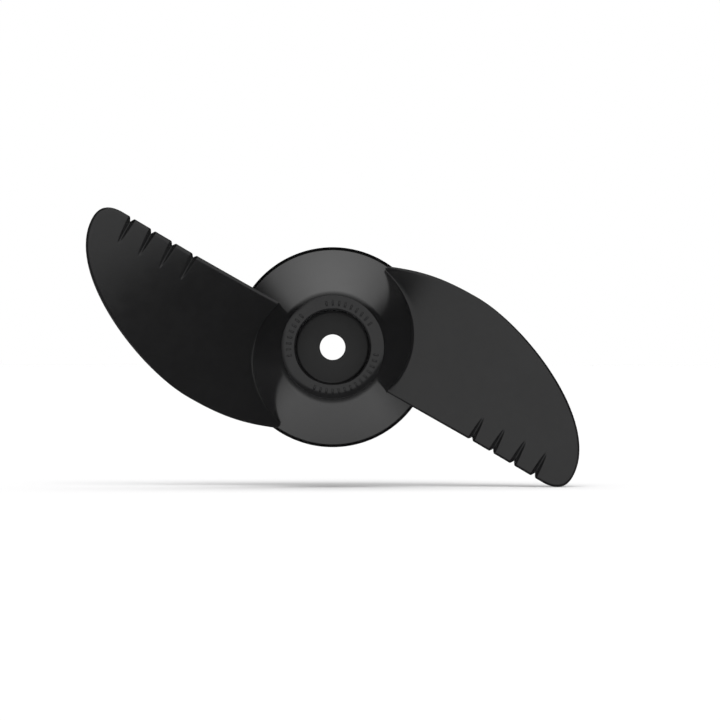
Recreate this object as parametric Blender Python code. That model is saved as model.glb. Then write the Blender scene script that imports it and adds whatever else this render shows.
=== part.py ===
"""Two-blade trolling motor propeller, one plastic moulding: a hollow bell-shaped hub with a nut
recess, a shaft boss and six ribs, and two helical blades with grooved trailing edges.

The shaft axis is Y. The nut side faces -Y and the motor side +Y. The origin lies on the axis in
the plane of the drive face, the motor end of the boss. Distances called back run from the rim of
the hub, on the motor side, towards the nut side."""

import math

import bmesh
import bpy
import numpy as np
from mathutils import Matrix

MM = 0.001
ROUND_SEGMENTS = 64
HALF_SEGMENT = math.pi / ROUND_SEGMENTS

# Hub outside, as distances back from the rim and radii
RIM_Y = 8.0
RIM_RADIUS = 50.5
SHOULDER = [(8.0, 49.05)]
BELL = [(9.0, 48.5), (22.0, 41.4), (36.2, 34.25), (48.49, 28.25)]
BELL_STEPS = 11
NOSE_CENTRE = (41.04, 12.97)
NOSE_ROUNDING = 17.0
NOSE_ANGLES = (64.0, 48.5)
RING_RADIUS = 25.6
RING_FLAT = 21.4
RING_CURVE = 14.5
FRONT_BACK = 56.0

# Hub inside
WALL_SHIFT = (1.2, 2.8)
SOCKET_RADIUS = 46.6
SOCKET_BACK = 2.0
CAVITY_START = -4.0
POCKET_BACK = 46.0
CUP_RADIUS = 21.6
CUP_BACK = 37.0
BOSS_RADIUS = 11.0
RECESS_RADIUS = 18.4
RECESS_ROUNDING = 1.8
RECESS_BACK = 42.0
BORE_RADIUS = 6.4
CORE_RADIUS = 5.0
SLOT_WIDTH = 5.2
SLOT_DEPTH = 5.5
RIB_COUNT = 6
RIB_THICKNESS = 2.5
RIB_SETBACK = 2.0

# Blade outline in its own plane: u runs out along the blade, v towards the leading edge. The
# trailing edge is straight as far as the bend, and then straight again to the rounded corner.
BLADE_DIRECTION = -29.6
ROOT_CURVE = [(4.0, 49.0), (18.0, 54.6), (28.5, 57.5), (47.5, 57.5)]
LEADING_CURVE = [(50.0, 57.5), (79.0, 57.5), (136.0, 33.3), (136.0, 3.0)]
CORNER_CURVE = [(136.0, 3.0), (136.0, -5.9), (129.0, -6.9), (124.0, -6.9)]
TRAILING_V = -6.2
TRAILING_BEND = 84.0
TIP_RADIUS = 136.0

# Blade form: the nut-side face is a true helix, and the blade's thickness lies behind it
PITCH = 88.9
FACE_BACK = 33.4
ROOT_THICKNESS = 6.6
TIP_THICKNESS = 2.5
EDGE_THICKNESS = 1.9
TRAILING_RAMP = 20.0
LEADING_RAMP = 14.0
EDGE_ROUNDING = 1.6
INNER_RADIUS = 31.0
TIP_CUT = 0.15
SECTION_COUNT = 23
COLUMN_COUNT = 12
OUTLINE_STEPS = 120

# Grooves in the nut-side face, cut square to the trailing edge
GROOVE_DISTANCES = (82.6, 94.6, 106.6, 118.6)
GROOVE_LENGTH = 13.0
GROOVE_RADIUS = 1.8
GROOVE_TIP = 0.05
GROOVE_SINK = 0.3
GROOVE_OVERRUN = 4.0


def clear_scene():
    for obj in list(bpy.data.objects):
        bpy.data.objects.remove(obj, do_unlink=True)


def plastic():
    material = bpy.data.materials.new("black_nylon")
    material.use_nodes = True
    shader = material.node_tree.nodes["Principled BSDF"]
    shader.inputs["Base Color"].default_value = (0.022, 0.022, 0.023, 1.0)
    shader.inputs["Roughness"].default_value = 0.42
    return material


def add_object(name, bm):
    bmesh.ops.recalc_face_normals(bm, faces=bm.faces)
    mesh = bpy.data.meshes.new(name)
    bm.to_mesh(mesh)
    bm.free()
    obj = bpy.data.objects.new(name, mesh)
    bpy.context.scene.collection.objects.link(obj)
    return obj


def bezier(handles, steps):
    """Points along one cubic curve, as rows of two numbers."""
    a, b, c, d = (np.array(handle) for handle in handles)
    t = np.linspace(0.0, 1.0, steps + 1)[:, None]
    return (1 - t) ** 3 * a + 3 * (1 - t) ** 2 * t * b + 3 * (1 - t) * t**2 * c + t**3 * d


def bell_points():
    return [tuple(point) for point in bezier(BELL, BELL_STEPS)]


def arc(centre, radius, start, end, steps):
    """Points on an arc in the section, its angles in degrees from the nut side's direction."""
    angles = np.radians(np.linspace(start, end, steps + 1))
    return [(centre[0] + radius * math.cos(a), centre[1] + radius * math.sin(a)) for a in angles]


def revolve(name, profile, turn=0.0):
    """A ring about the shaft whose section is the closed loop of (back, radius) pairs."""
    bm = bmesh.new()
    verts = [bm.verts.new((radius * MM, (RIM_Y - back) * MM, 0.0)) for back, radius in profile]
    edges = [bm.edges.new((verts[k - 1], verts[k])) for k in range(len(verts))]
    bmesh.ops.spin(
        bm,
        geom=verts + edges,
        cent=(0, 0, 0),
        axis=(0, 1, 0),
        angle=math.tau,
        steps=ROUND_SEGMENTS,
    )
    bmesh.ops.remove_doubles(bm, verts=bm.verts, dist=1e-6)
    bmesh.ops.transform(bm, matrix=Matrix.Rotation(turn, 4, "Y"), verts=bm.verts)
    return add_object(name, bm)


def box(name, low, high, turn=0.0):
    """A box between two corners in millimetres, turned about the shaft by an angle in degrees."""
    bm = bmesh.new()
    middle = [(a + b) / 2 * MM for a, b in zip(low, high)]
    size = [(b - a) * MM for a, b in zip(low, high)]
    place = Matrix.Rotation(math.radians(turn), 4, "Y") @ Matrix.Translation(middle)
    bmesh.ops.create_cube(bm, size=1.0, matrix=place @ Matrix.Diagonal((*size, 1.0)))
    return add_object(name, bm)


def combine(target, operation, others):
    """Boolean of the target with each of the others, which are removed."""
    for other in others:
        modifier = target.modifiers.new(operation.lower(), "BOOLEAN")
        modifier.operation = operation
        modifier.solver = "EXACT"
        modifier.object = other
        bpy.context.view_layer.objects.active = target
        bpy.ops.object.modifier_apply(modifier=modifier.name)
        bpy.data.objects.remove(other, do_unlink=True)


def hub_blank():
    """The bell with its rounded nose and nose ring, solid but for the shaft bore."""
    ring_slope = math.degrees(math.asin((RING_RADIUS - RING_FLAT) / RING_CURVE))
    profile = [(0.0, BORE_RADIUS), (0.0, RIM_RADIUS)] + SHOULDER + bell_points()
    profile += arc(NOSE_CENTRE, NOSE_ROUNDING, *NOSE_ANGLES, 3)[1:]
    profile += arc((FRONT_BACK - RING_CURVE, RING_FLAT), RING_CURVE, ring_slope, 0.0, 3)
    profile += [(FRONT_BACK, BORE_RADIUS)]
    return revolve("propeller", profile)


def inner_wall():
    """The bell's curve set in by the wall, from the rim side to the end of the pockets."""
    points = np.array(bell_points()) - WALL_SHIFT
    wall = [tuple(point) for point in points if point[0] < POCKET_BACK - 1.0]
    wall.append((POCKET_BACK, float(np.interp(POCKET_BACK, points[:, 0], points[:, 1]))))
    return wall


def cavity_cutter():
    """The ring-shaped space round the boss and the cup, less the ribs that cross it."""
    profile = [(CAVITY_START, CORE_RADIUS), (CAVITY_START, SOCKET_RADIUS)]
    profile += [(SOCKET_BACK, SOCKET_RADIUS)]
    profile += inner_wall() + [(POCKET_BACK, CUP_RADIUS), (CUP_BACK, CUP_RADIUS)]
    profile += [(CUP_BACK, BOSS_RADIUS), (RIM_Y, BOSS_RADIUS), (RIM_Y, CORE_RADIUS)]
    cutter = revolve("cavity", profile, HALF_SEGMENT)
    ribs = [rib(360.0 * k / RIB_COUNT) for k in range(RIB_COUNT)]
    combine(cutter, "DIFFERENCE", ribs)
    return cutter


def rib(angle):
    half = RIB_THICKNESS / 2
    low = (BOSS_RADIUS - 4.0, RIM_Y - FRONT_BACK, -half)
    return box("rib", low, (RIM_RADIUS, -RIB_SETBACK, half), angle)


def recess_cutter():
    ahead = FRONT_BACK + 1.0
    mouth_radius = RECESS_RADIUS + RECESS_ROUNDING
    mouth = arc((FRONT_BACK - RECESS_ROUNDING, mouth_radius), RECESS_ROUNDING, -90.0, 0.0, 2)
    profile = [(RECESS_BACK, CORE_RADIUS), (RECESS_BACK, RECESS_RADIUS)] + mouth
    profile += [(ahead, mouth_radius), (ahead, CORE_RADIUS)]
    return revolve("recess", profile, HALF_SEGMENT)


def slot_cutter():
    """The slot across the boss that takes the drive pin."""
    half = SLOT_WIDTH / 2
    reach = BOSS_RADIUS + 1.0
    return box("slot", (-half, -SLOT_DEPTH, -reach), (half, 1.0, reach))


def blade_outline():
    """Leading and trailing side of the outline, each as rows of u and v from the hub to the tip."""
    leading = [bezier(ROOT_CURVE, OUTLINE_STEPS), bezier(LEADING_CURVE, OUTLINE_STEPS)]
    corner = bezier(CORNER_CURVE, OUTLINE_STEPS)[::-1]
    bend = (TRAILING_BEND, TRAILING_V)
    inner = np.linspace((INNER_RADIUS - 10.0, TRAILING_V), bend, OUTLINE_STEPS)
    outer = np.linspace(bend, corner[0], OUTLINE_STEPS)
    return np.vstack(leading), np.vstack([inner, outer[1:], corner])


def polar(points):
    return np.hypot(points[:, 0], points[:, 1]), np.degrees(np.arctan2(points[:, 1], points[:, 0]))


def edge_angle(radius, side):
    """Angle from the blade direction, in degrees, at which one side of the outline has a radius."""
    radii, angles = polar(side)
    order = np.argsort(radii)
    return np.interp(radius, radii[order], angles[order])


def distance_to(points, curve):
    gaps = points[:, None, :] - curve[None, :, :]
    return np.sqrt((gaps**2).sum(axis=2)).min(axis=1)


def full_thickness(radius):
    share = (radius - INNER_RADIUS) / (TIP_RADIUS - INNER_RADIUS)
    return ROOT_THICKNESS + (TIP_THICKNESS - ROOT_THICKNESS) * share


def edge_ramp(distance, length):
    return np.sin(np.clip(distance / length, 0.0, 1.0) * math.pi / 2)


def face_depths(points, radius, leading, trailing):
    """How far each face lies behind the helix: thick in the middle, thin and rounded at the edges."""
    from_trailing = distance_to(points, trailing)
    from_leading = distance_to(points, leading)
    ramp = edge_ramp(from_trailing, TRAILING_RAMP) * edge_ramp(from_leading, LEADING_RAMP)
    thick = EDGE_THICKNESS + (full_thickness(radius) - EDGE_THICKNESS) * ramp
    rounding = np.clip(np.minimum(from_trailing, from_leading) / EDGE_ROUNDING, 0.0, 1.0)
    swell = np.maximum(np.sqrt(1.0 - (1.0 - rounding) ** 2), 0.3)
    half = EDGE_THICKNESS / 2
    return half * (1.0 - swell), half + (thick - half) * swell


def section_ring(radius, leading, trailing):
    """One closed loop of points at a radius: out along the nut-side face, back along the other."""
    low = edge_angle(radius, trailing)
    high = edge_angle(radius, leading)
    share = 0.5 - 0.5 * np.cos(np.linspace(0.0, math.pi, COLUMN_COUNT + 1))
    turn = low + (high - low) * share
    flat = radius * np.column_stack([np.cos(np.radians(turn)), np.sin(np.radians(turn))])
    lean = math.cos(math.atan(PITCH / (math.tau * radius)))
    angle = np.radians(turn + BLADE_DIRECTION)
    sides = []
    for depth in face_depths(flat, radius, leading, trailing):
        y = RIM_Y - (FACE_BACK - PITCH * turn / 360.0 - depth / lean)
        sides.append(np.column_stack([radius * np.cos(angle), y, radius * np.sin(angle)]) * MM)
    return np.vstack([sides[0], sides[1][::-1]])


def blade(leading, trailing):
    """Sections from inside the hub to the tip, bridged one to the next and filled at both ends."""
    spacing = np.sin(np.linspace(0.0, math.pi / 2, SECTION_COUNT))
    radii = INNER_RADIUS + (TIP_RADIUS - TIP_CUT - INNER_RADIUS) * spacing
    bm = bmesh.new()
    loops = []
    for radius in radii:
        verts = [bm.verts.new(point) for point in section_ring(radius, leading, trailing)]
        loops.append([bm.edges.new((verts[k - 1], verts[k])) for k in range(len(verts))])
    for first, second in zip(loops, loops[1:]):
        bmesh.ops.bridge_loops(bm, edges=first + second)
    for ends in (loops[0], loops[-1]):
        bmesh.ops.contextual_create(bm, geom=ends)
    return add_object("blade", bm)


def groove_cutter(distance):
    """A cone lying in the nut-side face, widest and deepest at the trailing edge."""
    reach = GROOVE_LENGTH + GROOVE_OVERRUN
    middle_v = TRAILING_V + GROOVE_LENGTH - reach / 2
    tip_v = TRAILING_V + GROOVE_LENGTH
    helix_slope = PITCH / (math.tau * distance)
    slope = helix_slope - GROOVE_SINK / GROOVE_LENGTH
    bm = bmesh.new()
    bmesh.ops.create_cone(
        bm,
        cap_ends=True,
        segments=12,
        radius1=GROOVE_RADIUS * reach / GROOVE_LENGTH * MM,
        radius2=GROOVE_TIP * MM,
        depth=reach * MM,
    )
    # The cone's own axis becomes the direction from the trailing edge in, sloped with the face.
    tilt = Matrix.Rotation(-math.atan(slope), 4, "X")
    back = FACE_BACK - helix_slope * tip_v + slope * (tip_v - middle_v)
    place = Matrix.Translation((distance * MM, (RIM_Y - back) * MM, middle_v * MM))
    turn = Matrix.Rotation(math.radians(-BLADE_DIRECTION), 4, "Y")
    bmesh.ops.transform(bm, matrix=turn @ place @ tilt, verts=bm.verts)
    return add_object("groove", bm)


def turned_copy(obj):
    """The same shape half a turn round the shaft."""
    copy = obj.copy()
    copy.data = obj.data.copy()
    copy.data.transform(Matrix.Rotation(math.pi, 4, "Y"))
    bpy.context.scene.collection.objects.link(copy)
    return copy


def main():
    clear_scene()
    leading, trailing = blade_outline()
    propeller = hub_blank()
    first = blade(leading, trailing)
    combine(first, "DIFFERENCE", [groove_cutter(distance) for distance in GROOVE_DISTANCES])
    combine(propeller, "UNION", [turned_copy(first), first])
    combine(propeller, "DIFFERENCE", [cavity_cutter(), recess_cutter(), slot_cutter()])
    propeller.data.materials.append(plastic())
    propeller.data.shade_smooth()


main()
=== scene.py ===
"""Looks of a two-blade trolling motor propeller moulded in black nylon, seen from its nut side.

Lengths are in millimetres. The shaft axis is Y and the nut side faces -Y. Distances called back
run from the rim of the hub, on the motor side, towards the nut side. A point of the hub's section
is a pair of a distance back and a radius. On a blade, u runs out along its length and v from the
trailing edge towards the leading edge."""

import math

import bpy
import numpy as np
from mathutils import Matrix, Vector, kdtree


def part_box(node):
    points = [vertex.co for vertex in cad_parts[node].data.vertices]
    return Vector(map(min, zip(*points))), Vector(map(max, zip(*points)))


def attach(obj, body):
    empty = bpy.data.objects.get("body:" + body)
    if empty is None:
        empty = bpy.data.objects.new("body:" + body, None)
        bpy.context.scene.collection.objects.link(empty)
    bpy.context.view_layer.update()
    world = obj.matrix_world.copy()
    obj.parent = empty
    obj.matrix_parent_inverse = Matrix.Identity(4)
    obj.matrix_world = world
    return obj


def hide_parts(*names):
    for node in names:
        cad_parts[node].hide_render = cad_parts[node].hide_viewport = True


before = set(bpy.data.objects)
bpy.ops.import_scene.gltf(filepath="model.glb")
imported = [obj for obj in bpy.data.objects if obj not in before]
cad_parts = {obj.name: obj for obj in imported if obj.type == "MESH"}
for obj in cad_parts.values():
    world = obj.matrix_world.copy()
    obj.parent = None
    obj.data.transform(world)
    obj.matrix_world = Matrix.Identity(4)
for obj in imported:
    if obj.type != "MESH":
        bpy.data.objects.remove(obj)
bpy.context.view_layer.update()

MM = 0.001
SAME_PLACE = 0.001
part_low, part_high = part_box("propeller")

# Hub outside, from the rim to the nose ring
RIM_Y = part_high[1] / MM
FRONT_Y = part_low[1] / MM
FRONT_BACK = RIM_Y - FRONT_Y
RIM_RADIUS = 50.5
RIM_ROUNDING = 0.5
SHOULDER = (8.0, 49.05)
SHOULDER_ROUNDING = 6.0
BELL = [(9.0, 48.5), (22.0, 41.4), (36.2, 34.25), (48.49, 28.25)]
BELL_STEPS = 48
NOSE_CENTRE = (41.04, 12.97)
NOSE_RADIUS = 17.0
NOSE_ANGLES = (64.0, 48.5)
NOSE_STEPS = 12
RING_RADIUS = 25.6
RING_FLAT = 21.4
RING_CURVE = 14.5
RING_STEPS = 10
RING_ROUNDING = 0.3
HUB_STEPS = 192
HUB_CREASE = 34.0
ROUNDING_STEP = 15.0

# Recess, bore and boss
RECESS_RADIUS = 18.4
RECESS_BACK = 42.0
RECESS_ROUNDING = 1.0
RECESS_FILLET = 1.6
BORE_RADIUS = 6.4
BORE_ROUNDING = 0.4
BOSS_RADIUS = 11.0
BOSS_ROUNDING = 0.6
BOSS_FILLET = 1.5
SLOT_WIDTH = 5.2
SLOT_DEPTH = 5.5
SLOT_CUTTER_OUT = 1.0
SLOT_CUTTER_LENGTH = 2.4 * BOSS_RADIUS

# Hollow side of the hub: the socket, the pockets and the cup behind the recess
WALL_SHIFT = (1.2, 2.8)
SOCKET_RADIUS = 46.6
SOCKET_BACK = 2.0
SOCKET_ROUNDING = 0.5
POCKET_BACK = 46.0
POCKET_FILLET = 1.2
POCKET_CLEARANCE = 2.5
CUP_RADIUS = 21.6
CUP_BACK = 37.0
CUP_ROUNDING = 0.8
RIB_COUNT = 6
RIB_THICKNESS = 2.5
RIB_SETBACK = 2.0
RIB_ROUNDING = 0.5
RIB_ROUNDING_STEPS = 3
RIB_OVERLAP = 1.0
RIB_BOSS_OVERLAP = 1.5

# Blade outline in its own plane
BLADE_DIRECTION = -29.6
ROOT_CURVE = [(4.0, 49.0), (18.0, 54.6), (28.5, 57.5), (47.5, 57.5)]
LEADING_CURVE = [(50.0, 57.5), (79.0, 57.5), (136.0, 33.3), (136.0, 3.0)]
CORNER_CURVE = [(136.0, 3.0), (136.0, -5.9), (129.0, -6.9), (124.0, -6.9)]
TRAILING_V = -6.2
TRAILING_START = 21.0
TRAILING_BEND = 84.0
INNER_RADIUS = 31.0
TIP_RADIUS = 136.0
TIP_ZONE = 12.0
CURVE_STEPS = 200
OUTLINE_SPACING = 0.1

# Blade form
PITCH = 88.9
FACE_BACK = 33.4
ROOT_THICKNESS = 6.6
TIP_THICKNESS = 2.5
EDGE_THICKNESS = 1.9
TRAILING_RAMP = 20.0
LEADING_RAMP = 14.0
EDGE_ROUNDING = 1.6

# Grooves in the nut-side face, square to the trailing edge
GROOVE_DISTANCES = (82.6, 94.6, 106.6, 118.6)
GROOVE_LENGTH = 13.8
GROOVE_WIDTH = 3.8
GROOVE_DEPTH = 1.7
GROOVE_ROUNDNESS = 1.6
NOTCH_DEPTH = 1.65
NOTCH_WIDTH = 3.0
NOTCH_ROUNDNESS = 1.5
LEAST_WALL = 0.05

# Root fillet: rows at shares of its height, then rows under the hub's surface as (height, flare)
ROOT_FILLET = 1.2
FILLET_AT_LEADING_EDGE = 0.4
FILLET_NARROWS = (0.5, 0.9)
FILLET_AT_TRAILING_EDGE = 0.35
FILLET_WIDENS = (0.0, 0.12)
FILLET_SHARES = (1.0, 0.75, 0.55, 0.38, 0.25, 0.15, 0.08, 0.035, 0.01)
BURIED_ROWS = [(0.0, 1.0), (-0.02, 1.25), (-0.2, 1.25), (-0.34, 0.0)]
ROOT_RADII = (26.0, 70.0)
ROOT_HALVINGS = 34

# Rows and columns of points on a blade
BLADE_COLUMNS = 80
BLADE_CREASE = 50.0
FIRST_ROW = 46.0
ROW_SPACING = 1.6
GROOVE_ZONE = 2.2
GROOVE_ROW_SPACING = 0.2
ROW_PAST_GROOVE = 0.6
OUTER_ROWS = 10
TIP_MARGINS = (2.5, 1.8, 1.25, 0.85, 0.55, 0.32, 0.16, 0.06)
LEAST_TIP_MARGIN = 0.02
STRAIGHT_ROWS_FROM = 78.0
STRETCH_TURN = 8.0
ROW_PASSES = 6

# Ticks on the nose ring: first and last angle of each row, and each tick's length, height and width
TICK_ROWS = [(10.0, 114.0), (169.0, 225.0), (262.0, 328.0)]
TICK_SPACING = 8.0
TICK_SIZE = (2.6, 0.9, 0.95)
TICK_SUNK_SHARE = 0.1
TICK_RADIUS = 21.8
TICK_ROUNDING = 0.28
TICK_ROUNDING_STEPS = 2
TICK_CREASE = 50.0

# Black nylon, with a duller floor in the recess, whose roughness is added to the skin's
NYLON_DARK = (0.0160, 0.0160, 0.0165, 1.0)
NYLON_PALE = (0.0184, 0.0184, 0.0189, 1.0)
NYLON_IOR = 1.5
TONE_EDGE = (0.35, 0.65)
GLOSS_EDGE = (0.3, 0.7)
SKIN_ROUGHNESS = (0.12, 0.16)
DULL_ROUGHNESS = 0.28
DULL_RADII = (RECESS_RADIUS - 1.0, RECESS_RADIUS - 0.3)
DULL_HEIGHT = 3.0
RELIEF_DEPTH = 0.05
RELIEF_STRENGTH = 0.12

# White floor and the lights that shine on it alone, whose widths and leans are in degrees
FLOOR_SIZE = 40000.0
FLOOR_GREY = 0.18
LIGHT_HEIGHT = 1000.0
FLOOR_LIGHTS = [
    {"name": "floor_light_above", "width": 110.0, "lean": 0.0, "strength": 11.1},
    {"name": "floor_light_front", "width": 40.0, "lean": 40.0, "strength": 7.3},
]

# Cards of light round the object, whose edges are pairs of limits over which light comes or goes
FRONT_STRENGTH = 0.74
FRONT_LOWER_EDGE = (-0.238, -0.168)
FRONT_LOWER_SLOPE = 0.15
FRONT_REAR_EDGE = (-0.17, 0.10)
FRONT_LEFT_EDGE = (-0.60, -0.29)
FRONT_LEFT_SLOPE = 0.35
FRONT_SIDE_EDGE = (0.50, 0.74)
CORNER_LOWER_EDGE = (0.30, 0.37)
LEFT_CORNER_EDGE = (0.20, 0.36)
RIGHT_CORNER_EDGE = (0.40, 0.56)
REAR_EDGE = (0.645, 0.70)
TOP_STRENGTH = 1.10
TOP_SIDE_LOSS = 1.65
TOP_ARC = [(84.0, 128.0), (177.5, 182.5)]
TOP_SIDE_EDGE = (0.51, 0.71)
BOTTOM_STRENGTH = 0.62
BOTTOM_ARC = [(-182.5, -177.5), (-136.0, -92.0)]
BOTTOM_SIDE_EDGE = (0.46, 0.90)
LOW_LEFT_STRENGTH = 0.4
LOW_LEFT_ARC = [(-86.0, -74.0), (-48.0, -36.0)]
LOW_LEFT_EDGE = (0.49, 0.57)

# Camera: the frame is FRAME_WIDTH across at FRAME_AT, and the shaft's axis is seen at AXIS_PIXEL
CAMERA_DISTANCE = 3000.0
FRAME_WIDTH = 359.06
FRAME_AT = 2977.0
SENSOR = 36.0
AXIS_PIXEL = (332.6, 347.2)
IMAGE_SIZE = 720
VIEW_END = 100000.0


# Curves and shares


def bezier(handles, steps):
    """Points along one cubic curve, as rows of two numbers."""
    a, b, c, d = (np.array(handle) for handle in handles)
    t = np.linspace(0.0, 1.0, steps + 1)[:, None]
    return (1 - t) ** 3 * a + 3 * (1 - t) ** 2 * t * b + 3 * (1 - t) * t**2 * c + t**3 * d


def run_lengths(curve):
    """Length of a curve from its first point to each of its points."""
    return np.concatenate([[0.0], np.cumsum(np.hypot(*np.diff(curve, axis=0).T))])


def smooth(value, start, end):
    """0 to 1 with level ends, as the value goes from start to end."""
    share = np.clip((value - start) / (end - start), 0.0, 1.0)
    return share * share * (3 - 2 * share)


def between(start, end, share):
    return start + (end - start) * share


# Modelling helpers


def deselect_all():
    if bpy.context.mode != "OBJECT":
        bpy.ops.object.mode_set(mode="OBJECT")
    bpy.ops.object.select_all(action="DESELECT")


def named(name):
    """Names the object that was just made."""
    obj = bpy.context.object
    obj.name = name
    obj.data.name = name
    return obj


def make_active(obj):
    deselect_all()
    obj.select_set(True)
    bpy.context.view_layer.objects.active = obj


def edit_all(obj):
    """Opens the object in edit mode with all of it selected."""
    make_active(obj)
    bpy.ops.object.mode_set(mode="EDIT")
    bpy.ops.mesh.select_all(action="SELECT")


def leave_edit():
    bpy.ops.object.mode_set(mode="OBJECT")


def set_points(obj, points):
    """Moves the mesh's points to rows of millimetres."""
    obj.data.vertices.foreach_set("co", (np.asarray(points, float) * MM).ravel())
    obj.data.update()


def close_up(obj, distance=SAME_PLACE):
    """Merges doubles and points all faces outwards."""
    edit_all(obj)
    bpy.ops.mesh.remove_doubles(threshold=distance * MM)
    bpy.ops.mesh.normals_make_consistent(inside=False)
    leave_edit()


def smooth_by_angle(obj, degrees):
    make_active(obj)
    bpy.ops.object.shade_smooth_by_angle(angle=math.radians(degrees))


def block(name, middle, size):
    """A box at its place, as an object whose mesh holds the place."""
    deselect_all()
    bpy.ops.mesh.primitive_cube_add(size=1.0)
    obj = named(name)
    place = Matrix.Translation([part * MM for part in middle])
    obj.data.transform(place @ Matrix.Diagonal([*(part * MM for part in size), 1.0]))
    return obj


def turned(obj, name, degrees):
    """A copy with its own mesh, turned about the shaft."""
    copy = obj.copy()
    copy.data = obj.data.copy()
    copy.name = name
    copy.data.name = name
    copy.data.transform(Matrix.Rotation(math.radians(degrees), 4, "Y"))
    bpy.context.scene.collection.objects.link(copy)
    return copy


def cut(target, cutter):
    """Exact Boolean difference, after which the cutter is removed."""
    modifier = target.modifiers.new("cut", "BOOLEAN")
    modifier.operation = "DIFFERENCE"
    modifier.solver = "EXACT"
    modifier.object = cutter
    make_active(target)
    bpy.ops.object.modifier_apply(modifier=modifier.name)
    bpy.data.objects.remove(cutter, do_unlink=True)


def join(name, objects):
    make_active(objects[0])
    for obj in objects:
        obj.select_set(True)
    bpy.ops.object.join()
    return named(name)


# Hub


def arc(centre, radius, start, end, steps):
    """Points on an arc in the section, its angles in degrees from the nut side's direction."""
    angles = np.radians(np.linspace(start, end, steps + 1))
    return [(centre[0] + radius * math.cos(a), centre[1] + radius * math.sin(a)) for a in angles]


def outside_profile():
    """The hub's outside from the rim to the crevice behind the nose ring."""
    bell = [tuple(point) for point in bezier(BELL, BELL_STEPS)]
    nose = arc(NOSE_CENTRE, NOSE_RADIUS, *NOSE_ANGLES, NOSE_STEPS)
    return [(0.0, RIM_RADIUS), SHOULDER] + bell + nose[1:]


def outside_radius(back):
    """Radius of the hub's outside at a distance back."""
    return np.interp(back, *np.array(outside_profile()).T)


def rounded(corners):
    """A closed section from (back, radius, rounding) corners, with an arc at each rounded one."""
    points = []
    places = np.array([corner[:2] for corner in corners])
    for k, (_, _, rounding) in enumerate(corners):
        here = places[k]
        if rounding == 0:
            points.append(here)
            continue
        towards = [places[k - 1] - here, places[(k + 1) % len(corners)] - here]
        first, second = (arm / np.linalg.norm(arm) for arm in towards)
        half = math.acos(np.clip(first @ second, -1, 1)) / 2
        tangent = rounding / math.tan(half)
        bisector = (first + second) / np.linalg.norm(first + second)
        centre = here + bisector * rounding / math.sin(half)
        start = here + first * tangent
        end = here + second * tangent
        steps = max(2, round((math.pi - 2 * half) / math.radians(ROUNDING_STEP)))
        for share in np.linspace(0.0, 1.0, steps + 1):
            arm = between(start, end, share) - centre
            points.append(centre + arm / np.linalg.norm(arm) * rounding)
    return np.array(points)


def hub_section():
    """The hub's wall, ring, recess, bore, boss and pockets as one closed loop."""
    shell = [(0.0, RIM_RADIUS, RIM_ROUNDING), (*SHOULDER, SHOULDER_ROUNDING)]
    shell += [(*point, 0) for point in outside_profile()[2:]]
    slope = math.degrees(math.asin((RING_RADIUS - RING_FLAT) / RING_CURVE))
    face = arc((FRONT_BACK - RING_CURVE, RING_FLAT), RING_CURVE, slope, 0.0, RING_STEPS)
    ring = [(*face[0], RING_ROUNDING)] + [(*point, 0) for point in face[1:]]
    recess = [
        (FRONT_BACK, RECESS_RADIUS, RECESS_ROUNDING),
        (RECESS_BACK, RECESS_RADIUS, RECESS_FILLET),
        (RECESS_BACK, BORE_RADIUS, BORE_ROUNDING),
    ]
    boss = [
        (RIM_Y, BORE_RADIUS, BORE_ROUNDING),
        (RIM_Y, BOSS_RADIUS, BOSS_ROUNDING),
        (CUP_BACK, BOSS_RADIUS, BOSS_FILLET),
    ]
    cup = [(CUP_BACK, CUP_RADIUS, CUP_ROUNDING), (POCKET_BACK, CUP_RADIUS, POCKET_FILLET)]
    inner = bezier(BELL, BELL_STEPS // 2) - WALL_SHIFT
    wall = [(POCKET_BACK, float(np.interp(POCKET_BACK, *inner.T)), POCKET_FILLET)]
    wall += [(*point, 0) for point in inner[::-1] if point[0] < POCKET_BACK - POCKET_CLEARANCE]
    socket = [(SOCKET_BACK, SOCKET_RADIUS, SOCKET_ROUNDING), (0.0, SOCKET_RADIUS, SOCKET_ROUNDING)]
    return rounded(shell + ring + recess + boss + cup + wall + socket)


def rib():
    """One flat rib from the boss to the bell, with a rounded free edge."""
    free_back = RIM_Y + RIB_SETBACK
    inner = bezier(BELL, BELL_STEPS // 2) - np.array(WALL_SHIFT) / 2
    in_boss = BOSS_RADIUS - RIB_BOSS_OVERLAP
    in_cup = CUP_RADIUS - RIB_OVERLAP
    past_pocket = POCKET_BACK + RIB_OVERLAP
    past_cup = CUP_BACK + RIB_OVERLAP
    outline = [(free_back, in_boss), (free_back, float(np.interp(free_back, *inner.T)))]
    outline += [tuple(point) for point in inner if free_back < point[0] < past_pocket]
    outline += [(past_pocket, in_cup), (past_cup, in_cup), (past_cup, in_boss)]
    deselect_all()
    bpy.ops.mesh.primitive_circle_add(vertices=len(outline), fill_type="NGON")
    obj = named("rib")
    set_points(obj, [(radius, RIM_Y - back, -RIB_THICKNESS / 2) for back, radius in outline])
    edit_all(obj)
    thickness = (0.0, 0.0, RIB_THICKNESS * MM)
    bpy.ops.mesh.extrude_region_move(TRANSFORM_OT_translate={"value": thickness})
    leave_edit()
    free_y = (RIM_Y - free_back) * MM
    close = SAME_PLACE * MM
    for edge in obj.data.edges:
        first, second = (obj.data.vertices[k].co for k in edge.vertices)
        at_free_end = max(abs(first.y - free_y), abs(second.y - free_y)) < close
        edge.select = at_free_end and abs(first.z - second.z) < close
    bpy.ops.object.mode_set(mode="EDIT")
    bpy.ops.mesh.select_mode(type="EDGE")
    bpy.ops.mesh.bevel(offset=RIB_ROUNDING * MM, segments=RIB_ROUNDING_STEPS)
    leave_edit()
    close_up(obj)
    return obj


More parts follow.
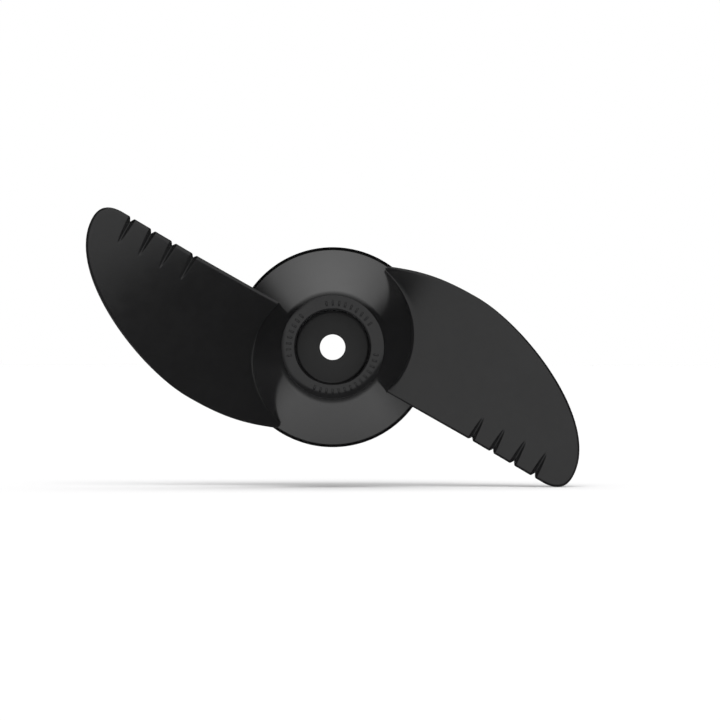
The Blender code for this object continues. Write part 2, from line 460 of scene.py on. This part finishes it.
def hub():
    """The spun shell with the drive pin's slot cut across its boss, and its ribs."""
    section = hub_section()
    deselect_all()
    bpy.ops.mesh.primitive_circle_add(vertices=len(section), fill_type="NOTHING")
    obj = named("hub")
    set_points(obj, [(radius, RIM_Y - back, 0.0) for back, radius in section])
    edit_all(obj)
    bpy.ops.mesh.spin(steps=HUB_STEPS, angle=math.tau, center=(0, 0, 0), axis=(0, 1, 0))
    leave_edit()
    close_up(obj)
    slot_middle = (0.0, -(SLOT_DEPTH - SLOT_CUTTER_OUT) / 2, 0.0)
    slot_size = (SLOT_WIDTH, SLOT_DEPTH + SLOT_CUTTER_OUT, SLOT_CUTTER_LENGTH)
    cut(obj, block("pin_slot", slot_middle, slot_size))
    first = rib()
    spread = 360.0 / RIB_COUNT
    ribs = [turned(first, f"rib_{k}", spread * k) for k in range(RIB_COUNT)]
    bpy.data.objects.remove(first, do_unlink=True)
    obj = join("hub", [obj] + ribs)
    smooth_by_angle(obj, HUB_CREASE)
    return obj


# Blade outline and grooves


def trailing_v(u):
    """The straight parts of the trailing edge, which bend once."""
    corner_u, corner_v = CORNER_CURVE[-1]
    return np.interp(u, (TRAILING_BEND, corner_u), (TRAILING_V, corner_v))


def notch(u):
    """How far the trailing edge is cut in at a distance u along the blade."""
    depth = np.zeros_like(u)
    for distance in GROOVE_DISTANCES:
        share = np.clip(1.0 - np.abs(u - distance) / (NOTCH_WIDTH / 2), 0.0, 1.0)
        depth += (NOTCH_DEPTH + TRAILING_V - trailing_v(distance)) * share**NOTCH_ROUNDNESS
    return depth


def groove(u, v):
    """How deep the grooves lie in the nut-side face."""
    along = np.clip(1.0 - (v - TRAILING_V) / GROOVE_LENGTH, 0.0, None)
    depth = np.zeros_like(u)
    for distance in GROOVE_DISTANCES:
        half = np.maximum(GROOVE_WIDTH / 2 * np.sqrt(along), 1e-3)
        share = np.clip(np.abs(u - distance) / half, 0.0, 1.0)
        depth += GROOVE_DEPTH * along * (1.0 - share**GROOVE_ROUNDNESS)
    return depth


def resampled(curve):
    """The same open curve with points at even spacing."""
    run = run_lengths(curve)
    even = np.linspace(0.0, run[-1], int(run[-1] / OUTLINE_SPACING) + 1)
    return np.column_stack([np.interp(even, run, curve[:, 0]), np.interp(even, run, curve[:, 1])])


class Outline:
    """Both edges of the blade, with the angle of each at a radius and the distance to the nearest."""

    def __init__(self):
        leading = [bezier(ROOT_CURVE, CURVE_STEPS), bezier(LEADING_CURVE, 2 * CURVE_STEPS)]
        corner = bezier(CORNER_CURVE, CURVE_STEPS // 2)[::-1]
        start = (TRAILING_START, TRAILING_V)
        bend = (TRAILING_BEND, TRAILING_V)
        straight = np.linspace(start, bend, CURVE_STEPS)
        self.leading = resampled(np.vstack(leading))
        self.trailing = resampled(np.vstack([straight, corner]))
        self.trailing[:, 1] += notch(self.trailing[:, 0])
        self.loop = np.vstack([self.trailing, self.leading[::-1]])
        self.tree = kdtree.KDTree(len(self.loop))
        for k, (u, v) in enumerate(self.loop):
            self.tree.insert((u, v, 0.0), k)
        self.tree.balance()

    def limits(self, radius):
        """Angles of the trailing and the leading edge at each radius, in degrees."""
        angles = []
        for side in (self.trailing, self.leading):
            radii = np.hypot(*side.T)
            order = np.argsort(radii)
            turn = np.degrees(np.arctan2(side[:, 1], side[:, 0]))
            angles.append(np.interp(radius, radii[order], turn[order]))
        return angles

    def distance(self, points):
        """Distance of each point to the outline."""
        nearest = np.array([self.tree.find((u, v, 0.0))[1] for u, v in points])
        best = np.full(len(points), np.inf)
        for step in (-1, 1):
            a = self.loop[nearest]
            b = self.loop[np.clip(nearest + step, 0, len(self.loop) - 1)]
            run = b - a
            length = np.maximum((run**2).sum(axis=1), 1e-12)
            share = np.clip(((points - a) * run).sum(axis=1) / length, 0.0, 1.0)
            gap = points - a - run * share[:, None]
            best = np.minimum(best, np.hypot(*gap.T))
        return best

    def far_radius(self, turn):
        """Radius of the outline round the tip at an angle."""
        near_tip = self.loop[np.hypot(*self.loop.T) > TIP_RADIUS - TIP_ZONE]
        angles = np.degrees(np.arctan2(near_tip[:, 1], near_tip[:, 0]))
        order = np.argsort(angles)
        return np.interp(turn, angles[order], np.hypot(*near_tip.T)[order])


# Blade surface


def reaches():
    """Distances along the blade of its rows of points: close together at the grooves and the tip."""
    start = FIRST_ROW
    steps = []
    for distance in GROOVE_DISTANCES:
        near = np.arange(-GROOVE_ZONE, GROOVE_ZONE + 1e-4, GROOVE_ROW_SPACING) + distance
        count = max(3, int((near[0] - start) / ROW_SPACING))
        steps += list(np.linspace(start, near[0], count + 1)[:-1])
        steps += list(near)
        start = near[-1] + ROW_PAST_GROOVE
    steps += list(np.linspace(start, TIP_RADIUS - TIP_MARGINS[0], OUTER_ROWS)[:-1])
    steps += [TIP_RADIUS - margin for margin in TIP_MARGINS]
    return np.array(steps)


def outward(loop):
    """Unit steps out of a closed loop of points, whose last point repeats the first."""
    ahead = np.roll(loop[:-1], -1, axis=0)
    tangent = ahead - np.roll(loop[:-1], 1, axis=0)
    normal = np.column_stack([tangent[:, 1], -tangent[:, 0]])
    normal = normal / np.linalg.norm(normal, axis=1)[:, None]
    area = (loop[:-1, 0] * ahead[:, 1] - ahead[:, 0] * loop[:-1, 1]).sum()
    return np.vstack([normal, normal[:1]]) * math.copysign(1.0, area)


class BladeSurface:
    """Rows of points round the blade. A row runs over the nut-side face from the trailing edge to
    the leading edge and back over the other face, and is kept as radii, angles and distances back."""

    def __init__(self):
        self.outline = Outline()
        share = 0.5 - 0.5 * np.cos(np.linspace(0.0, math.pi, BLADE_COLUMNS + 1))
        self.across = np.concatenate([share, share[-2::-1]])
        self.nut_side = np.arange(len(self.across)) <= BLADE_COLUMNS
        self.at_edge = (self.across == 0.0) | (self.across > 1.0 - 1e-12)

    def turns(self, radius):
        """Angle of each point of a row."""
        return between(*self.outline.limits(radius), self.across)

    def backs(self, radius, turn, at_edge=None):
        """Distance back of each point of a row, on the face that it belongs to."""
        angle = np.radians(turn)
        points = np.stack([radius * np.cos(angle), radius * np.sin(angle)], axis=-1)
        at_edge = self.at_edge if at_edge is None else at_edge
        gap = np.where(at_edge, 0.0, self.outline.distance(points))
        v_gap = points[:, 1] - trailing_v(points[:, 0])
        ramp = np.sin(np.clip(v_gap / TRAILING_RAMP, 0.0, 1.0) * math.pi / 2)
        ramp = ramp * np.sin(np.clip(gap / LEADING_RAMP, 0.0, 1.0) * math.pi / 2)
        share = (radius - INNER_RADIUS) / (TIP_RADIUS - INNER_RADIUS)
        thickness = between(EDGE_THICKNESS, between(ROOT_THICKNESS, TIP_THICKNESS, share), ramp)
        swell = np.sqrt(1.0 - (1.0 - np.clip(gap / EDGE_ROUNDING, 0.0, 1.0)) ** 2)
        half = EDGE_THICKNESS / 2
        front = half * (1.0 - swell)
        rear = between(half, thickness, swell)
        sunk = np.minimum(front + groove(*points.T), rear - LEAST_WALL * swell)
        sunk = np.where(gap > 0.0, np.maximum(sunk, front), front)
        depth = np.where(self.nut_side, sunk, rear)
        pitch_angle = np.arctan(PITCH / (math.tau * radius))
        return FACE_BACK - PITCH * turn / 360.0 - depth / np.cos(pitch_angle)

    def root_radius(self, height):
        """Radius at which each column of the blade stands at a height above the hub's outside."""
        low, high = (np.full_like(self.across, limit) for limit in ROOT_RADII)
        for _ in range(ROOT_HALVINGS):
            middle = (low + high) / 2
            above = middle - height > outside_radius(self.backs(middle, self.turns(middle)))
            high = np.where(above, middle, high)
            low = np.where(above, low, middle)
        return (low + high) / 2

    def fillet_width(self):
        """Width of the root fillet at each column, less at the leading edge and the trailing one."""
        narrows = smooth(self.across, *FILLET_NARROWS)
        widens = smooth(self.across, *FILLET_WIDENS)
        width = ROOT_FILLET * between(1.0, FILLET_AT_LEADING_EDGE, narrows)
        return width * between(FILLET_AT_TRAILING_EDGE, 1.0, widens)

    def fillet_rows(self):
        """Rows that start under the hub's surface, leave it and run up the fillet to the blade."""
        profile = np.array(outside_profile())
        run = run_lengths(profile)
        width = self.fillet_width()
        # The fillet's own rows stand on a quarter circle
        steps = [(share, 1.0 - math.sqrt(2 * share - share**2)) for share in FILLET_SHARES]
        steps += BURIED_ROWS
        rows = []
        for share, flare in steps:
            height = share * width
            radius = self.root_radius(np.maximum(height, 0.0))
            turn = self.turns(radius)
            back = self.backs(radius, turn)
            if share == steps[-1][0]:
                back = (back + back[::-1]) / 2
            along = np.interp(back, profile[:, 0], run)
            out = outward(np.column_stack([np.radians(turn) * radius.mean(), along]))
            out = out * (flare * width)[:, None]
            turn = turn + np.degrees(out[:, 0] / radius)
            back = np.interp(along + out[:, 1], run, profile[:, 0])
            rows.append((outside_radius(back) + height, turn, back))
        return rows[::-1]

    def rows(self):
        """All the rows from inside the hub to the tip. They start as the root's last row lies and
        straighten on the way out."""
        rows = self.fillet_rows()
        along = reaches()
        start_radius, turn, _ = rows[-1]
        straightened = (along - along[0]) / (STRAIGHT_ROWS_FROM - along[0])
        straightened = np.clip(straightened, 0.0, 1.0)
        for k in range(1, len(along)):
            for _ in range(ROW_PASSES):
                stretch = 1.0 / np.cos(np.radians(np.clip(turn, -STRETCH_TURN, STRETCH_TURN)))
                lift = start_radius - along[0] * stretch
                radius = along[k] * stretch + lift * (1.0 - straightened[k])
                radius = np.minimum(radius, TIP_RADIUS - LEAST_TIP_MARGIN)
                turn = self.turns(radius)
            rows.append((radius, turn, self.backs(radius, turn)))
        end = self.outline.far_radius(turn)
        rows.append((end, turn, self.backs(end, turn, at_edge=True)))
        return rows


def blade():
    """The right blade, closed inside the hub and at its tip."""
    rows = BladeSurface().rows()
    radius, turn, back = np.array(rows).transpose(1, 0, 2)
    angle = np.radians(turn + BLADE_DIRECTION)
    points = np.stack([radius * np.cos(angle), RIM_Y - back, radius * np.sin(angle)], axis=-1)
    columns = points.shape[1]
    deselect_all()
    bpy.ops.mesh.primitive_grid_add(x_subdivisions=columns - 1, y_subdivisions=len(rows) - 1)
    obj = named("blade_right")
    set_points(obj, points.reshape(-1, 3))
    close_up(obj, 2 * SAME_PLACE)
    smooth_by_angle(obj, BLADE_CREASE)
    return obj


# Ticks on the nose ring


def nose_ticks():
    """Plain raised strokes in three rows round the face of the ring."""
    length, height, width = TICK_SIZE
    middle = (TICK_RADIUS, FRONT_Y + height * TICK_SUNK_SHARE, 0.0)
    first = block("tick", middle, (length, height, width))
    edit_all(first)
    bpy.ops.mesh.bevel(offset=TICK_ROUNDING * MM, segments=TICK_ROUNDING_STEPS)
    leave_edit()
    ticks = []
    for start, end in TICK_ROWS:
        count = round((end - start) / TICK_SPACING)
        for angle in np.linspace(start, end, count + 1):
            ticks.append(turned(first, f"tick_{len(ticks)}", angle))
    bpy.data.objects.remove(first, do_unlink=True)
    obj = join("nose_ticks", ticks)
    smooth_by_angle(obj, TICK_CREASE)
    return obj


# Shader maths and nodes


class Wire:
    """A socket that adds Math nodes when it is used in an expression."""

    def __init__(self, tree, socket):
        self.tree = tree
        self.socket = socket

    def _math(self, operation, first, second):
        return node(self.tree, "ShaderNodeMath", {"operation": operation}, {0: first, 1: second})

    def __add__(self, other):
        return self._math("ADD", self, other)

    def __mul__(self, other):
        return self._math("MULTIPLY", self, other)

    def __sub__(self, other):
        return self._math("SUBTRACT", self, other)

    def __rsub__(self, other):
        return self._math("SUBTRACT", other, self)

    __radd__ = __add__
    __rmul__ = __mul__

    def into(self, socket):
        self.tree.links.new(self.socket, socket)


def node(tree, kind, settings=None, inputs=None, output=0):
    """A node with its settings made first and then its sockets, as a wire from one output."""
    made = tree.nodes.new(kind)
    for key, value in (settings or {}).items():
        setattr(made, key, value)
    for key, value in (inputs or {}).items():
        if isinstance(value, Wire):
            value.into(made.inputs[key])
        else:
            made.inputs[key].default_value = value
    return Wire(tree, made.outputs[output])


def parts(vector):
    """The x, y and z of a vector."""
    split = node(vector.tree, "ShaderNodeSeparateXYZ", inputs={0: vector}).socket.node
    return [Wire(vector.tree, output) for output in split.outputs]


def rise(value, edge, low=0.0, high=1.0):
    """Goes softly from low to high as the value crosses an edge."""
    names = ("From Min", "From Max", "To Min", "To Max")
    inputs = dict(zip(names, (*edge, low, high)), Value=value)
    return node(value.tree, "ShaderNodeMapRange", {"interpolation_type": "SMOOTHSTEP"}, inputs)


def fall(value, edge):
    """Goes softly from 1 to 0 as the value crosses an edge."""
    return 1.0 - rise(value, edge)


# Material


def black_nylon():
    """Black nylon with a satin skin, slightly cloudy in tone and gloss."""
    material = bpy.data.materials.new("black_nylon")
    material.use_nodes = True
    tree = material.node_tree
    shader = tree.nodes["Principled BSDF"]
    place = node(tree, "ShaderNodeTexCoord", output="Object")

    def noise(scale, detail):
        inputs = {"Vector": place, "Scale": scale, "Detail": detail}
        return node(tree, "ShaderNodeTexNoise", inputs=inputs)

    broad = noise(scale=28.0, detail=2.0)
    cloudy = noise(scale=160.0, detail=3.0)
    fine = noise(scale=2600.0, detail=2.0)

    # Sockets 6 and 7 of the Mix node are its colours, and output 2 is the mixed colour
    tint = rise(broad * 0.6 + cloudy * 0.4, TONE_EDGE)
    colours = {0: tint, 6: NYLON_DARK, 7: NYLON_PALE}
    tone = node(tree, "ShaderNodeMix", {"data_type": "RGBA"}, colours, output=2)
    tone.into(shader.inputs["Base Color"])

    x, y, z = parts(place)
    radius = node(tree, "ShaderNodeMath", {"operation": "SQRT"}, {0: x * x + z * z})
    recess_y = (RIM_Y - RECESS_BACK) * MM
    in_recess = fall(radius, [limit * MM for limit in DULL_RADII])
    in_recess = in_recess * fall(y, (recess_y, recess_y + DULL_HEIGHT * MM))
    skin = rise(cloudy * 0.5 + fine * 0.5, GLOSS_EDGE, *SKIN_ROUGHNESS)
    roughness = skin + in_recess * DULL_ROUGHNESS
    roughness.into(shader.inputs["Roughness"])

    height = fine * 0.6 + cloudy * 0.4
    relief = {"Strength": RELIEF_STRENGTH, "Distance": RELIEF_DEPTH * MM, "Height": height}
    bump = node(tree, "ShaderNodeBump", inputs=relief)
    bump.into(shader.inputs["Normal"])
    shader.inputs["IOR"].default_value = NYLON_IOR
    return material


# Floor, light and camera


def white_floor():
    """A matt floor at the tip of the lower blade."""
    deselect_all()
    bpy.ops.mesh.primitive_plane_add(size=FLOOR_SIZE * MM, location=(0.0, 0.0, part_low[2]))
    floor = named("floor")
    material = bpy.data.materials.new("floor_white")
    material.use_nodes = True
    shader = material.node_tree.nodes["Principled BSDF"]
    shader.inputs["Base Color"].default_value = (FLOOR_GREY, FLOOR_GREY, FLOOR_GREY, 1.0)
    shader.inputs["Roughness"].default_value = 1.0
    shader.inputs["Specular IOR Level"].default_value = 0.0
    floor.data.materials.append(material)
    floor.visible_glossy = False
    return floor


def floor_lights(floor):
    """A wide soft light straight above and one from the upper front, which light only the floor."""
    receivers = bpy.data.collections.new("floor_only")
    receivers.objects.link(floor)
    for settings in FLOOR_LIGHTS:
        light = bpy.data.lights.new(settings["name"], "SUN")
        light.angle = math.radians(settings["width"])
        light.energy = settings["strength"]
        obj = bpy.data.objects.new(settings["name"], light)
        obj.location = (0.0, 0.0, LIGHT_HEIGHT * MM)
        obj.rotation_euler = (math.radians(settings["lean"]), 0.0, 0.0)
        bpy.context.scene.collection.objects.link(obj)
        obj.light_linking.receiver_collection = receivers


def studio_world():
    """White behind the object for the camera, and broad soft cards of light by direction.

    An edge along an axis is in parts of the direction's length. The edges of an arc are in degrees
    from the nut side's direction up over the top."""
    world = bpy.data.worlds.new("studio")
    world.use_nodes = True
    bpy.context.scene.world = world
    tree = world.node_tree
    background = tree.nodes["Background"]
    x, y, z = parts(node(tree, "ShaderNodeTexCoord", output="Generated"))
    left = x * -1.0
    side = node(tree, "ShaderNodeMath", {"operation": "ABSOLUTE"}, {0: x})
    turn = node(tree, "ShaderNodeMath", {"operation": "ARCTAN2"}, {0: z, 1: y * -1.0})
    short_of_rear = fall(y, REAR_EDGE)

    def inside(start, end):
        """The directions within an arc."""
        start, end = ([math.radians(limit) for limit in edge] for edge in (start, end))
        return rise(turn, start) * fall(turn, end)

    # In front, from a little below level up to overhead, shorter on the left, without upper corners
    front = rise(z - x * FRONT_LOWER_SLOPE, FRONT_LOWER_EDGE) * fall(y, FRONT_REAR_EDGE)
    front = front * rise(x + z * FRONT_LEFT_SLOPE, FRONT_LEFT_EDGE) * fall(side, FRONT_SIDE_EDGE)
    corners = rise(left, LEFT_CORNER_EDGE) + rise(x, RIGHT_CORNER_EDGE)
    front = front * (1.0 - rise(z, CORNER_LOWER_EDGE) * corners) * FRONT_STRENGTH

    # Above and behind, dimmer towards the sides
    top = inside(*TOP_ARC) * fall(side, TOP_SIDE_EDGE) * short_of_rear
    top = top * (TOP_STRENGTH - side * side * TOP_SIDE_LOSS)

    # Below and behind
    bottom = inside(*BOTTOM_ARC) * fall(side, BOTTOM_SIDE_EDGE) * short_of_rear * BOTTOM_STRENGTH

    # A dim one low on the left, on the nut side
    low_left = inside(*LOW_LEFT_ARC) * rise(left, LOW_LEFT_EDGE) * LOW_LEFT_STRENGTH

    seen = node(tree, "ShaderNodeLightPath", output="Is Camera Ray")
    level = seen + (1.0 - seen) * (front + top + bottom + low_left)
    level.into(background.inputs["Strength"])
    background.inputs["Color"].default_value = (1.0, 1.0, 1.0, 1.0)


def camera():
    """Looks along the shaft at the nut side, with the photograph's frame."""
    data = bpy.data.cameras.new("camera")
    data.sensor_width = SENSOR
    data.lens = SENSOR * FRAME_AT / FRAME_WIDTH
    middle = IMAGE_SIZE / 2
    data.shift_x = (middle - AXIS_PIXEL[0]) / IMAGE_SIZE
    data.shift_y = (AXIS_PIXEL[1] - middle) / IMAGE_SIZE
    data.clip_end = VIEW_END * MM
    obj = bpy.data.objects.new("camera", data)
    obj.location = (0.0, -CAMERA_DISTANCE * MM, 0.0)
    obj.rotation_euler = (math.pi / 2, 0.0, 0.0)
    bpy.context.scene.collection.objects.link(obj)
    bpy.context.scene.camera = obj


def main():
    nylon = black_nylon()
    hub_piece = hub()
    right = blade()
    left = turned(right, "blade_left", 180)
    ticks = nose_ticks()
    for piece in (hub_piece, right, left, ticks):
        piece.data.materials.clear()
        piece.data.materials.append(nylon)
        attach(piece, "root")
        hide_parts("propeller")
    floor_lights(white_floor())
    studio_world()
    camera()
    bpy.context.scene.view_settings.view_transform = "Standard"


main()
